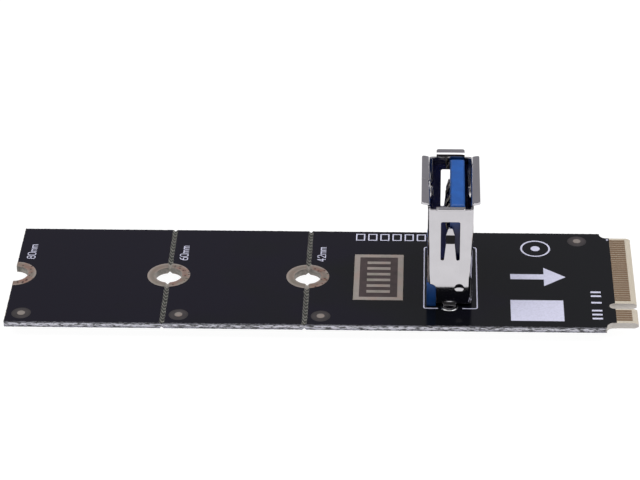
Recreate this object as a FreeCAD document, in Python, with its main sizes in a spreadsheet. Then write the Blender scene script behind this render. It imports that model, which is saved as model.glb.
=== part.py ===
import FreeCAD, Part
import Sketcher
import math
import os

# A narrow adapter card with a plug edge, two snap-off lengths and an upright nine-contact socket.
# Origin: middle of the plug edge, on the board's underside. +X is the way the card plugs in, +Z is up.
# Heights of the socket are measured from the board's top face.
SIZES = (
    ("board_length", 80, "plug edge to the far end"),
    ("board_width", 22, "long edge to long edge"),
    ("board_thick", 0.8, "laminate"),
    ("plug_length", 4, "plug edge to the shoulders"),
    ("shoulder", 1.075, "long edge to the side of the plug edge"),
    ("shoulder_radius", 0.9, "inside corner of each shoulder"),
    ("key_width", 1.2, "key slot"),
    ("key_depth", 3.5, "key slot, to its round end"),
    ("key_offset", 6.125, "key slot from the middle"),
    ("bevel_run", 0.45, "lead-in of the plug edge, along the board"),
    ("bevel_drop", 0.2, "lead-in of the plug edge, on each face"),
    ("middle_length", 60, "second snap-off length"),
    ("short_length", 42, "shortest snap-off length"),
    ("score_width", 0.5, "snap-off groove at the face"),
    ("score_depth", 0.25, "snap-off groove on each face"),
    ("screw_dia", 3.5, "clear hole for the holding screw"),
    ("ring_dia", 5.5, "bare ring round a screw hole"),
    ("foil", 0.05, "copper on the board"),
    ("finger_spacing", 0.5, "plug contacts"),
    ("finger_width", 0.35, "plug contacts"),
    ("finger_length", 2, "plug contacts"),
    ("finger_inset", 0.75, "plug contacts to the plug edge"),
    ("finger_edge", 0.675, "outer contacts' middles to the side of the plug edge"),
    ("finger_key", 0.5, "contacts' middles to the key slot, at least"),
    ("mark_dia", 1, "round placing marks"),
    ("mark_inset", 1.9, "placing marks to the long edge"),
    ("mark_step", 2, "placing marks from each snap-off line"),
    ("mark_plug", 7, "last placing mark to the plug edge"),
    ("panel_middle", 32.85, "bare copper panel to the plug edge"),
    ("panel_length", 6.3, "bare copper panel along the board"),
    ("panel_width", 10.7, "bare copper panel across the board"),
    ("panel_band", 0.7, "bare copper panel's frame"),
    ("bar_count", 6, "plain bars inside the panel"),
    ("bar_spacing", 1.35, "plain bars"),
    ("bar_width", 0.6, "plain bars"),
    ("bar_length", 3, "plain bars"),
    ("socket_middle", 23.75, "socket to the plug edge"),
    ("sheet", 0.3, "steel of the shell"),
    ("mouth_length", 5.12, "inside of the shell along the board"),
    ("mouth_width", 12.5, "inside of the shell across the board"),
    ("fold_radius", 0.25, "inside of the shell's folds"),
    ("seam_gap", 0.06, "where the folded shell closes"),
    ("shell_lift", 0.45, "board to the shell's lower edge"),
    ("rim_height", 14.3, "board to the root of the flares"),
    ("flare_angle", 80, "flares from upright"),
    ("flare_bend", 0.4, "middle of the sheet"),
    ("flare_leaf", 0.65, "straight part of a flare"),
    ("end_flare", 3.6, "flares of the narrow walls"),
    ("side_flare", 11.5, "flares of the wide walls"),
    ("window_width", 2.4, "opening round a grip spring"),
    ("window_low", 6.9, "board to the spring's root"),
    ("window_height", 5.65, "opening round a grip spring"),
    ("window_slot", 0.44, "slot each side of the spring's root"),
    ("spring_step", 2.4, "root to the foot of the step"),
    ("spring_crest", 3.35, "root to the crest, where the leaf narrows"),
    ("spring_tip", 4.4, "root to the tip"),
    ("crest_width", 1.1, "spring at its step"),
    ("tip_width", 0.5, "spring at its tip"),
    ("end_crest", 0.57, "how far a narrow wall's spring stands in"),
    ("side_crest", 0.4, "how far a wide wall's spring stands in"),
    ("tip_back", 0.08, "how far each tip comes back"),
    ("side_spring", 4.2, "wide walls' springs from the middle"),
    ("spring_bend", 0.35, "middle of the sheet"),
    ("dimple_dia", 1.2, "pressed dimple that holds the moulding"),
    ("dimple_depth", 0.22, "pressed dimple"),
    ("dimple_height", 2.8, "board to the dimple"),
    ("dimple_offset", 1.2, "dimple from the wall's middle"),
    ("leg_width", 1.5, "shell leg"),
    ("leg_jog", 0.2, "shell leg outside the wall"),
    ("leg_reach", 1.4, "shell leg below the board"),
    ("leg_corner", 0.35, "cut corners of a leg's end"),
    ("slot_room", 0.2, "board round a leg"),
    ("leg_joint_dia", 2.5, "solder round a leg, at the board"),
    ("fit_gap", 0.05, "between the moulding and the shell"),
    ("foot_length", 1.12, "moulding's corner feet along the board"),
    ("foot_width", 1.6, "moulding's corner feet across the board"),
    ("foot_height", 3.3, "moulding's corner feet"),
    ("foot_proud", 0.04, "feet outside the wide wall"),
    ("foot_round", 0.75, "upper corner of a foot"),
    ("base_height", 6, "board to the moulding's floor"),
    ("guide_thick", 0.8, "plate that spaces the tails"),
    ("tongue_gap", 2.5, "wide wall to the tongue's contact face"),
    ("tongue_thick", 1.84, "tongue"),
    ("tongue_width", 11.3, "tongue"),
    ("tongue_height", 14.5, "board to the tongue's tip"),
    ("tongue_chamfer", 0.22, "tongue's long tip edges"),
    ("tongue_end", 0.2, "tongue's short tip edges"),
    ("strip", 0.2, "contact metal"),
    ("strip_bend", 0.35, "middle of the contact metal"),
    ("tail_width", 0.5, "contact tails"),
    ("tail_reach", 1.1, "contact tails below the board"),
    ("tail_hole", 0.8, "plated holes for the tails"),
    ("sprung_row", 1, "sprung contacts' tails outside the contact face"),
    ("sprung_width", 0.9, "sprung contacts"),
    ("sprung_inner", 1, "inner sprung contacts from the middle"),
    ("sprung_outer", 3.5, "outer sprung contacts from the middle"),
    ("sprung_crest", 0.5, "how far a sprung contact stands out"),
    ("sprung_crest_height", 10.7, "board to a sprung contact's crest"),
    ("sprung_root_height", 8.3, "board to the foot of its slope"),
    ("sprung_tip_height", 11.8, "board to its tip"),
    ("sprung_jog_height", 3.2, "board to the bend towards the tails"),
    ("groove_room", 0.1, "tongue beside and behind a sprung contact"),
    ("flat_row", 1.1, "flat contacts' tails inside the contact face"),
    ("flat_width", 0.7, "flat contacts"),
    ("flat_spacing", 2, "flat contacts"),
    ("flat_length", 1.3, "flat contacts on the tongue's face"),
    ("flat_top", 0.35, "flat contacts to the tongue's tip"),
    ("guide_room", 0.05, "plate round a tail"),
    ("joint_dia", 1.5, "solder round a tail, at the board"),
    ("joint_height", 0.75, "solder round a tail, below the board"),
    ("leg_joint_end", 0.15, "solder outside a leg where it thins out"),
    ("leg_joint_height", 0.95, "solder round a leg, below the board"),
    ("leg_fillet_height", 0.25, "solder round a leg, above the board"),
)
CUT_PAST = 1
ROUND_OFF = 1e-6
SMALL_SIDES = 12  # sides of a small round piece that repeats
LARGE_SIDES = 20


class Size:
    """A length with its value and the sheet expression that gives it."""

    def __init__(self, value, text):
        self.value = float(value)
        self.text = text

    @staticmethod
    def of(other):
        return other if isinstance(other, Size) else Size(other, str(other))

    def joined(self, other, sign, value):
        return Size(value, f"({self.text} {sign} {Size.of(other).text})")

    def __add__(self, other):
        return self.joined(other, "+", self.value + Size.of(other).value)

    def __sub__(self, other):
        return self.joined(other, "-", self.value - Size.of(other).value)

    def __mul__(self, other):
        return self.joined(other, "*", self.value * Size.of(other).value)

    def __truediv__(self, other):
        return self.joined(other, "/", self.value / Size.of(other).value)

    def __neg__(self):
        return Size(-self.value, f"(-{self.text})")

    def __float__(self):
        return self.value


class Sizes:
    """The driving dimensions, one attribute for each alias of the sheet."""


doc = FreeCAD.newDocument("riser_card")
sheet = doc.addObject("Spreadsheet::Sheet", "Sizes")
dim = Sizes()
for row, (alias, value, meaning) in enumerate(SIZES, start=1):
    sheet.set(f"A{row}", meaning)
    sheet.set(f"B{row}", str(value))
    sheet.setAlias(f"B{row}", alias)
doc.recompute()
for alias, value, meaning in SIZES:
    setattr(dim, alias, Size(sheet.get(alias), f"Sizes.{alias}"))
NONE = Size(0, "0")


def vector(x, y, z):
    return FreeCAD.Vector(float(x), float(y), float(z))


def bind(item, name, size):
    item.setExpression(name, Size.of(size).text)


# Sketches and features


def new_body(label):
    body = doc.addObject("PartDesign::Body", label)
    body.AllowCompound = True
    return body


def origin_part(body, role):
    return next(part for part in body.Origin.OriginFeatures if part.Role == role)


def new_sketch(body, name, role, height=NONE):
    sketch = body.newObject("Sketcher::SketchObject", name)
    sketch.AttachmentSupport = (origin_part(body, role), [""])
    sketch.MapMode = "FlatFace"
    bind(sketch, "AttachmentOffset.Base.z", height)
    return sketch


def hold(sketch, kind, geometry, point, size):
    index = sketch.addConstraint(Sketcher.Constraint(kind, -1, 1, geometry, point, size.value))
    bind(sketch, f"Constraints[{index}]", size)


def polygon(sketch, corners):
    corners = [(Size.of(x), Size.of(y)) for x, y in corners]
    first = sketch.GeometryCount
    count = len(corners)
    for index in range(count):
        ends = [vector(*corners[(index + step) % count], 0) for step in (0, 1)]
        sketch.addGeometry(Part.LineSegment(*ends))
    for index in range(count):
        following = first + (index + 1) % count
        sketch.addConstraint(Sketcher.Constraint("Coincident", first + index, 2, following, 1))
        hold(sketch, "DistanceX", first + index, 1, corners[index][0])
        hold(sketch, "DistanceY", first + index, 1, corners[index][1])


def rectangle(sketch, low, high):
    polygon(sketch, [(low[0], low[1]), (high[0], low[1]), (high[0], high[1]), (low[0], high[1])])


def circle(sketch, middle, radius):
    index = sketch.addGeometry(Part.Circle(vector(*middle, 0), vector(0, 0, 1), radius.value))
    hold(sketch, "DistanceX", index, 3, Size.of(middle[0]))
    hold(sketch, "DistanceY", index, 3, Size.of(middle[1]))
    size = sketch.addConstraint(Sketcher.Constraint("Radius", index, radius.value))
    bind(sketch, f"Constraints[{size}]", radius)


def pad(body, sketch, length, both_sides=False):
    feature = body.newObject("PartDesign::Pad", sketch.Name + "_pad")
    feature.Profile = sketch
    feature.SideType = "Symmetric" if both_sides else "One side"
    bind(feature, "Length", length)
    body.Tip = feature
    return feature


def pocket(body, sketch):
    feature = body.newObject("PartDesign::Pocket", sketch.Name + "_cut")
    feature.Profile = sketch
    feature.Type = "ThroughAll"
    feature.SideType = "Symmetric"
    body.Tip = feature
    return feature


def repeat(body, feature, axis, pitch, count):
    pattern = body.newObject("PartDesign::LinearPattern", feature.Name + "_row")
    pattern.Originals = [feature]
    pattern.Direction = (origin_part(body, axis), [""])
    pattern.Mode = "Spacing"
    bind(pattern, "Offset", pitch)
    bind(pattern, "Occurrences", count)
    body.Tip = pattern
    return pattern


def edges_at(feature, test):
    """Names of the feature's straight edges whose middle point and direction pass the test."""
    names = []
    for index, edge in enumerate(feature.Shape.Edges, start=1):
        if isinstance(edge.Curve, Part.Line):
            middle = edge.valueAt((edge.FirstParameter + edge.LastParameter) / 2)
            if test(middle, edge.Curve.Direction):
                names.append(f"Edge{index}")
    return names


def near(value, size):
    return abs(value - float(size)) < 1e-4


def upright(direction):
    return near(abs(direction.z), 1)


def trim_edges(body, kind, size_name, feature, test, size):
    doc.recompute()
    trim = body.newObject(f"PartDesign::{kind}", f"{feature.Name}_{kind.lower()}")
    trim.Base = (feature, edges_at(feature, test))
    bind(trim, size_name, size)
    body.Tip = trim
    return trim


# Primitives and booleans


def box(name, low, high):
    item = doc.addObject("Part::Box", name)
    for axis, side, start, end in zip("xyz", ("Length", "Width", "Height"), low, high):
        bind(item, f"Placement.Base.{axis}", start)
        bind(item, side, Size.of(end) - start)
    return item


def round_solid(kind, name, base, **sizes):
    item = doc.addObject(f"Part::{kind}", name)
    for axis, place in zip("xyz", base):
        bind(item, f"Placement.Base.{axis}", place)
    for size_name, size in sizes.items():
        bind(item, size_name, size)
    return item


def many_sided(name, base, radius, height, sides):
    """Upright prism for a small round piece."""
    item = round_solid("Prism", name, base, Circumradius=radius, Height=height)
    item.Polygon = sides
    return item


def tapered(name, base, low_radius, high_radius, height, sides):
    """Many-sided cone between two level outlines."""
    rims = []
    for radius, lift in ((low_radius, NONE), (high_radius, height)):
        corners = [
            vector(*base[:2], base[2] + lift)
            + FreeCAD.Vector(math.cos(turn), math.sin(turn), 0) * float(radius)
            for turn in (2 * math.pi * step / sides for step in range(sides))
        ]
        rims.append(corners)
    outlines = list(rims)
    for step in range(sides):
        following = (step + 1) % sides
        outlines.append([rims[0][step], rims[0][following], rims[1][following], rims[1][step]])
    faces = [Part.Face(Part.makePolygon(corners + corners[:1])) for corners in outlines]
    return shaped(name, Part.Solid(Part.Shell(faces)))


def fuse(name, pieces):
    item = doc.addObject("Part::MultiFuse", name)
    item.Shapes = pieces
    item.Refine = True
    return item


def cut(name, base, tool):
    item = doc.addObject("Part::Cut", name)
    item.Base = base
    item.Tool = tool
    item.Refine = True
    return item


def group(name, pieces):
    item = doc.addObject("Part::Compound", name)
    item.Links = pieces
    return item


# Bent metal


def bent_section(path, bends, thick):
    """Section of a strip along straight runs, u sideways and v up; a bend of no radius is a sharp corner."""
    points = [FreeCAD.Vector(float(u), 0, float(v)) for u, v in path]
    half = thick / 2
    first_way = (points[1] - points[0]).normalize()
    last_way = (points[-1] - points[-2]).normalize()
    sides = {1: [], -1: []}
    for side, edges in sides.items():
        here = points[0] + sideways(first_way) * half * side
        for index, bend in enumerate(bends, start=1):
            before = (points[index] - points[index - 1]).normalize()
            after = (points[index + 1] - points[index]).normalize()
            turn = before.getAngle(after)
            if bend == 0:
                corner = (sideways(before) + sideways(after)).normalize()
                end = points[index] + corner * (half * side / math.cos(turn / 2))
                edges.append(Part.LineSegment(here, end).toShape())
            else:
                left = 1 if before.x * after.z - before.z * after.x > 0 else -1
                middle = points[index] - before * bend * math.tan(turn / 2) + sideways(before) * left * bend
                radius = bend - half * side * left
                begin = middle - sideways(before) * left * radius
                through = middle + (points[index] - middle).normalize() * radius
                end = middle - sideways(after) * left * radius
                edges.append(Part.LineSegment(here, begin).toShape())
                edges.append(Part.Arc(begin, through, end).toShape())
            here = end
        last = points[-1] + sideways(last_way) * half * side
        edges.append(Part.LineSegment(here, last).toShape())
    caps = [
        Part.LineSegment(edge_end(sides[1], 0), edge_end(sides[-1], 0)).toShape(),
        Part.LineSegment(edge_end(sides[1], -1), edge_end(sides[-1], -1)).toShape(),
    ]
    return Part.Face(Part.Wire(Part.__sortEdges__(sides[1] + sides[-1] + caps)))


def sideways(way):
    return FreeCAD.Vector(-way.z, 0, way.x)


def edge_end(edges, index):
    edge = edges[index]
    return edge.valueAt(edge.FirstParameter if index == 0 else edge.LastParameter)


def bent_strip(path, bends, thick, width):
    """A strip as wide as width, centred on y = 0, bent in the xz plane."""
    section = bent_section(path, [float(bend) for bend in bends], float(thick))
    section.translate(vector(0, -float(width) / 2, 0))
    return section.extrude(vector(0, width, 0))


def outlined(strip, outline):
    """The part of a strip inside a closed outline given in its own plane, y sideways and z up."""
    reach = strip.BoundBox
    edges = [edge.translated(FreeCAD.Vector(reach.XMin - CUT_PAST, 0, 0)) for edge in outline]
    blank = Part.Face(Part.Wire(Part.__sortEdges__(edges)))
    blade = blank.extrude(FreeCAD.Vector(reach.XLength + 2 * CUT_PAST, 0, 0))
    return strip.common(blade)


def outline_line(start, end):
    return Part.LineSegment(vector(0, *start), vector(0, *end)).toShape()


def outline_arc(start, through, end):
    return Part.Arc(vector(0, *start), vector(0, *through), vector(0, *end)).toShape()


def shaped(name, shape, place=(0, 0, 0), turn=0):
    item = doc.addObject("Part::Feature", name)
    item.Shape = shape
    item.Placement = FreeCAD.Placement(vector(*place), FreeCAD.Rotation(vector(0, 0, 1), turn))
    return item


# Places that several pieces share

top = dim.board_thick
half_width = dim.board_width / 2
half_plug = half_width - dim.shoulder
socket_x = -dim.socket_middle
inner_x = dim.mouth_length / 2
inner_y = dim.mouth_width / 2
outer_x = inner_x + dim.sheet
outer_y = inner_y + dim.sheet
wall_x = inner_x + dim.sheet / 2
wall_y = inner_y + dim.sheet / 2
shell_low = top + dim.shell_lift
rim = top + dim.rim_height
leg_y = wall_y + dim.leg_jog
slot_round = dim.sheet / 2 + dim.slot_room
slot_run = dim.leg_width / 2 + dim.slot_room - slot_round
contact_face = socket_x - inner_x + dim.tongue_gap
sprung_tail_x = contact_face - dim.sprung_row
flat_tail_x = contact_face + dim.flat_row
base_low = top + dim.guide_thick
base_top = top + dim.base_height
tongue_tip = top + dim.tongue_height
sprung_places = (dim.sprung_outer, dim.sprung_inner, -dim.sprung_inner, -dim.sprung_outer)
flat_places = tuple(dim.flat_spacing * step for step in (2, 1, 0, -1, -2))
tail_places = [(sprung_tail_x, y) for y in sprung_places] + [(flat_tail_x, y) for y in flat_places]
screw_places = (-dim.short_length, -dim.middle_length, -dim.board_length)


# Board and its copper


def score_lines(sketch, places):
    """V grooves on both faces, wide enough above the face to clear the copper."""
    for place in places:
        for face, way in ((NONE, 1), (top, -1)):
            polygon(sketch, [
                (place, face + dim.score_depth * way),
                (place - dim.score_width, face - dim.score_depth * way),
                (place + dim.score_width, face - dim.score_depth * way),
            ])


def board_blank():
    """The laminate with its outline, key slot, screw holes, leg slots, grooves and lead-in."""
    body = new_body("board_blank")
    outline = new_sketch(body, "board_outline", "XY_Plane")
    polygon(outline, [
        (-dim.board_length, -half_width), (-dim.plug_length, -half_width), (-dim.plug_length, -half_plug),
        (NONE, -half_plug), (NONE, half_plug), (-dim.plug_length, half_plug),
        (-dim.plug_length, half_width), (-dim.board_length, half_width),
    ])
    laminate = pad(body, outline, dim.board_thick)
    trim_edges(
        body, "Fillet", "Radius", laminate,
        lambda middle, way: upright(way) and near(middle.x, -dim.plug_length)
        and near(abs(middle.y), half_plug),
        dim.shoulder_radius,
    )
    key = new_sketch(body, "key_slot", "XY_Plane")
    key_round = dim.key_width / 2
    rectangle(key, (key_round - dim.key_depth, -dim.key_offset - key_round),
              (Size.of(CUT_PAST), key_round - dim.key_offset))
    pocket(body, key)
    holes = new_sketch(body, "round_holes", "XY_Plane")
    circle(holes, (key_round - dim.key_depth, -dim.key_offset), key_round)
    for place in screw_places:
        circle(holes, (place, NONE), dim.screw_dia / 2)
    for way in (1, -1):
        for side in (1, -1):
            circle(holes, (socket_x + slot_run * side, leg_y * way), slot_round)
    pocket(body, holes)
    slots = new_sketch(body, "leg_slots", "XY_Plane")
    for way in (1, -1):
        middle = leg_y * way
        rectangle(slots, (socket_x - slot_run, middle - slot_round),
                  (socket_x + slot_run, middle + slot_round))
    pocket(body, slots)
    grooves = new_sketch(body, "score_lines", "XZ_Plane")
    score_lines(grooves, screw_places[:2])
    pocket(body, grooves)
    bevels = new_sketch(body, "plug_bevels", "XZ_Plane")
    for face, way in ((NONE, 1), (top, -1)):
        polygon(bevels, [
            (-dim.bevel_run, face), (dim.bevel_run, face - dim.bevel_drop * way),
            (dim.bevel_run, face + dim.bevel_drop * 2 * way),
        ])
    pocket(body, bevels)
    return body


def tail_core(name, place):
    """What a tail's hole through the board takes out, and solder fills again."""
    return many_sided(name, (*place, NONE), dim.tail_hole / 2, dim.board_thick, SMALL_SIDES)


def circuit_board():
    holes = [tail_core(f"tail_hole_{index}", place) for index, place in enumerate(tail_places)]
    return cut("circuit_board", board_blank(), group("tail_holes", holes))


def slot_core(name, way):
    """Round-ended block that fills a leg's slot in the board."""
    middle = leg_y * way
    ends = [
        round_solid("Cylinder", f"{name}_end_{index}", (socket_x + slot_run * side, middle, NONE),
                    Radius=slot_round, Height=dim.board_thick)
        for index, side in enumerate((1, -1))
    ]
    block = box(f"{name}_block", (socket_x - slot_run, middle - slot_round, NONE),
                (socket_x + slot_run, middle + slot_round, top))
    return fuse(name, ends + [block])


def screw_ring(name, place):
    """Bare copper round a screw hole, on both faces."""
    body = new_body(name)
    for side, face in (("top", top), ("low", -dim.foil)):
        rings = new_sketch(body, f"{name}_{side}", "XY_Plane", face)
        circle(rings, (place, NONE), dim.ring_dia / 2)
        circle(rings, (place, NONE), dim.screw_dia / 2)
        pad(body, rings, dim.foil)
    if place is screw_places[-1]:
        outside = new_sketch(body, name + "_outside", "XY_Plane")
        rectangle(outside, (place - dim.ring_dia, -dim.ring_dia), (place, dim.ring_dia))
        pocket(body, outside)
    else:
        grooves = new_sketch(body, name + "_score", "XZ_Plane")
        score_lines(grooves, [place])
        pocket(body, grooves)
    return body


def finger_rows(first):
    """For each side of the key slot: the contact nearest to the near edge, and the count."""
    far_room = dim.key_width / 2 + dim.finger_key - dim.key_offset
    near_room = dim.key_offset + dim.key_width / 2 + dim.finger_key
    far_steps = math.floor(float((first - far_room) / dim.finger_spacing))
    skipped = math.ceil(float((first + near_room) / dim.finger_spacing))
    last = half_plug - dim.finger_edge
    near_steps = math.floor(float((first + last) / dim.finger_spacing) + ROUND_OFF)
    return (
        (first - dim.finger_spacing * far_steps, far_steps + 1),
        (first - dim.finger_spacing * near_steps, near_steps - skipped + 1),
    )


def plug_contacts(name, face, first):
    body = new_body(name)
    half = dim.finger_width / 2
    reach = (-dim.finger_inset - dim.finger_length, -dim.finger_inset)
    for part, (start, count) in zip(("far", "near"), finger_rows(first)):
        sketch = new_sketch(body, f"{name}_{part}", "XY_Plane", face)
        rectangle(sketch, (reach[0], start - half), (reach[1], start + half))
        repeat(body, pad(body, sketch, dim.foil), "Y_Axis", dim.finger_spacing, count)
    return body


def placing_marks():
    edge = dim.mark_inset - half_width
    places = [(place + dim.mark_step, edge) for place in screw_places] + [(-dim.mark_plug, -edge)]
    return group("placing_marks", [
        many_sided(f"placing_mark_{index}", (*place, top), dim.mark_dia / 2, dim.foil, LARGE_SIDES)
        for index, place in enumerate(places)
    ])


def copper_panel():
    """A bare copper frame round a row of plain bars."""
    body = new_body("copper_panel")
    frame = new_sketch(body, "panel_frame", "XY_Plane", top)
    middle = -dim.panel_middle
    half_x = dim.panel_length / 2
    half_y = dim.panel_width / 2
    band = dim.panel_band
    rectangle(frame, (middle - half_x, -half_y), (middle + half_x, half_y))
    rectangle(frame, (middle - half_x + band, band - half_y), (middle + half_x - band, half_y - band))
    pad(body, frame, dim.foil)
    bar = new_sketch(body, "panel_bar", "XY_Plane", top)
    start = -(dim.bar_spacing * (dim.bar_count - 1)) / 2
    half_bar = dim.bar_width / 2
    bar_end = dim.bar_length / 2
    rectangle(bar, (middle - bar_end, start - half_bar), (middle + bar_end, start + half_bar))
    repeat(body, pad(body, bar, dim.foil), "Y_Axis", dim.bar_spacing, dim.bar_count)
    return body


# Socket shell


def shell_walls():
    """Upright walls folded from one sheet, with the openings round the grip springs."""
    body = new_body("shell_walls")
    walls = new_sketch(body, "shell_outside", "XY_Plane", shell_low)
    rectangle(walls, (socket_x - outer_x, -outer_y), (socket_x + outer_x, outer_y))
    block = pad(body, walls, rim - shell_low)
    trim_edges(body, "Fillet", "Radius", block, lambda middle, way: upright(way), dim.fold_radius + dim.sheet)
    mouth = new_sketch(body, "shell_inside", "XY_Plane", shell_low)
    rectangle(mouth, (socket_x - inner_x, -inner_y), (socket_x + inner_x, inner_y))
    hollow = pocket(body, mouth)
    trim_edges(
        body, "Fillet", "Radius", hollow,
        lambda middle, way: upright(way) and near(abs(middle.y), inner_y)
        and near(abs(middle.x - socket_x.value), inner_x),
        dim.fold_radius,
    )
    low = top + dim.window_low
    high = low + dim.window_height
    half = dim.window_width / 2
    end_windows = new_sketch(body, "end_windows", "XZ_Plane")
    rectangle(end_windows, (socket_x - half, low), (socket_x + half, high))
    pocket(body, end_windows)
    side_windows = new_sketch(body, "side_windows", "YZ_Plane")
    for way in (1, -1):
        middle = dim.side_spring * way
        rectangle(side_windows, (middle - half, low), (middle + half, high))
    windows = pocket(body, side_windows)
    trim_edges(
        body, "Fillet", "Radius", windows,
        lambda middle, way: across_wall(middle) and near(way.z, 0) and near(middle.z, low),
        dim.window_slot / 2,
    )
    return body


def across_wall(point):
    """True where a point lies halfway through one of the shell's walls."""
    return near(abs(point.y), wall_y) or near(abs(point.x - socket_x.value), wall_x)


def grip_spring(crest):
    """Spring leaf that steps into the mouth and ends in a narrow tip; x points inwards."""
    low = (top + dim.window_low).value
    slot = dim.window_slot.value / 2
    step_z = low + dim.spring_step.value
    crest_z = low + dim.spring_crest.value
    tip_z = low + dim.spring_tip.value
    window = dim.window_width.value / 2
    path = [(0, low - dim.sheet.value), (0, step_z), (crest, crest_z), (crest - dim.tip_back.value, tip_z)]
    leaf = bent_strip(path, (dim.spring_bend, dim.spring_bend), dim.sheet, dim.window_width)
    root = window - 2 * slot
    half_crest = dim.crest_width.value / 2
    half_tip = dim.tip_width.value / 2
    round_mid = slot * (1 - math.sqrt(0.5))
    below = low - CUT_PAST
    edges = [
        outline_line((-window, below), (window, below)),
        outline_line((-half_tip, tip_z), (half_tip, tip_z)),
    ]
    for way in (1, -1):
        edges.append(outline_line((way * window, below), (way * window, low)))
        edges.append(outline_line((way * window, low), (way * (root + slot), low)))
        edges.append(outline_arc((way * (root + slot), low), (way * (root + round_mid), low + round_mid),
                                 (way * root, low + slot)))
        edges.append(outline_line((way * root, low + slot), (way * half_crest, step_z)))
        edges.append(outline_line((way * half_crest, step_z), (way * half_crest, crest_z)))
        edges.append(outline_line((way * half_crest, crest_z), (way * half_tip, tip_z)))
    return outlined(leaf, edges)


def flare(width):
    """Outward lip at the mouth; x points inwards."""
    angle = math.radians(dim.flare_angle.value)
    corner = dim.flare_bend.value * math.tan(angle / 2)
    corner_z = rim.value + corner
    reach = corner + dim.flare_leaf.value
    path = [(0, rim.value - dim.sheet.value), (0, corner_z),
            (-reach * math.sin(angle), corner_z + reach * math.cos(angle))]
    return bent_strip(path, [dim.flare_bend], dim.sheet, width)


def shell_leg():
    """Leg that steps out of the wall and ends below the board; x points inwards."""
    low = shell_low.value
    jog = dim.leg_jog.value
    tip = -dim.leg_reach.value
    path = [(0, low + 3 * jog), (0, low + jog), (-jog, low - jog), (-jog, tip)]
    leg = bent_strip(path, [jog] * 2, dim.sheet, dim.leg_width)
    half = dim.leg_width.value / 2
    taper = dim.leg_corner.value
    high = low + 4 * jog
    corners = [
        (half, high), (half, tip + taper), (half - taper, tip),
        (taper - half, tip), (-half, tip + taper), (-half, high),
    ]
    ends = corners[1:] + corners[:1]
    return outlined(leg, [outline_line(start, end) for start, end in zip(corners, ends)])


def dimple(name, way):
    """Ball whose cap is the hollow of a dimple pressed into the sheet."""
    depth = dim.dimple_depth
    radius = (dim.dimple_dia * dim.dimple_dia / 4 + depth * depth) / (depth * 2)
    middle = (outer_y + radius - depth) * way
    return round_solid("Sphere", name, (socket_x + dim.dimple_offset, middle, top + dim.dimple_height),
                       Radius=radius)


def foot_blank(name, way, margin):
    """Corner foot of the moulding, which is also, with a margin, the notch in the shell."""
    body = new_body(name)
    side = new_sketch(body, name + "_side", "XZ_Plane")
    left = socket_x - outer_x - dim.foot_proud - margin
    right = socket_x - outer_x + dim.foot_length + margin
    low = top - margin
    high = top + dim.foot_height + margin
    rectangle(side, (left, low), (right, high))
    block = pad(body, side, (outer_y + margin) * 2, both_sides=True)
    trim_edges(
        body, "Fillet", "Radius", block,
        lambda middle, direction: near(middle.x, right) and near(middle.z, high) and near(direction.z, 0)
        and near(direction.x, 0),
        dim.foot_round + margin,
    )
    keep = new_sketch(body, name + "_plan", "XY_Plane")
    end = outer_y - dim.foot_width - margin
    if way > 0:
        rectangle(keep, (left - CUT_PAST, -outer_y - CUT_PAST), (right + CUT_PAST, end))
    else:
        rectangle(keep, (left - CUT_PAST, -end), (right + CUT_PAST, outer_y + CUT_PAST))
    pocket(body, keep)
    return body


def socket_shell():
    near_wall = (socket_x, -wall_y, NONE)
    far_wall = (socket_x, wall_y, NONE)
    pieces = [shell_walls()]
    for name, place, turn in (("near", near_wall, 90), ("far", far_wall, -90)):
        pieces.append(shaped(f"{name}_spring", grip_spring(dim.end_crest.value), place, turn))
        pieces.append(shaped(f"{name}_flare", flare(dim.end_flare), place, turn))
        pieces.append(shaped(f"{name}_leg", shell_leg(), place, turn))
    for name, offset, turn in (("left", -wall_x, 0), ("right", wall_x, 180)):
        pieces.append(shaped(f"{name}_flare", flare(dim.side_flare), (socket_x + offset, NONE, NONE), turn))
        for side, way in (("near", -1), ("far", 1)):
            place = (socket_x + offset, dim.side_spring * way, NONE)
            pieces.append(shaped(f"{name}_{side}_spring", grip_spring(dim.side_crest.value), place, turn))
    tools = []
    for side, way in (("near", -1), ("far", 1)):
        tools.append(dimple(f"{side}_dimple", way))
        tools.append(foot_blank(f"{side}_notch", way, dim.fit_gap))
    seam = dim.seam_gap / 2
    past = socket_x - outer_x - dim.flare_leaf - dim.flare_bend
    above = rim + dim.flare_leaf + dim.flare_bend + dim.sheet
    tools.append(box("shell_seam", (past, -seam, NONE), (socket_x - inner_x + dim.seam_gap, seam, above)))
    return cut("socket_shell", fuse("shell_formed", pieces), fuse("shell_cuts", tools))


# Contacts and moulding


def sprung_contact(name, place):
    """Contact that bows out of a groove in the tongue and steps sideways to its tail."""
    lie = contact_face.value + dim.strip.value / 2
    tail = sprung_tail_x.value
    jog = (top + dim.sprung_jog_height).value
    step = lie - tail
    crest = contact_face.value - dim.sprung_crest.value
    lower = [(tail, -dim.tail_reach.value), (tail, jog)]
    upper = [
        (tail, jog), (tail, jog + dim.strip_bend.value), (lie, jog + dim.strip_bend.value + step),
        (lie, top.value + dim.sprung_root_height.value), (crest, top.value + dim.sprung_crest_height.value),
        (lie, top.value + dim.sprung_tip_height.value),
    ]
    bends = (NONE, NONE, dim.strip_bend, dim.strip_bend)
    blade = bent_strip(upper, bends, dim.strip, dim.sprung_width)
    legs = bent_strip(lower, (), dim.strip, dim.tail_width)
    return shaped(name, blade.fuse(legs).removeSplitter(), (0, place, 0))


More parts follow.
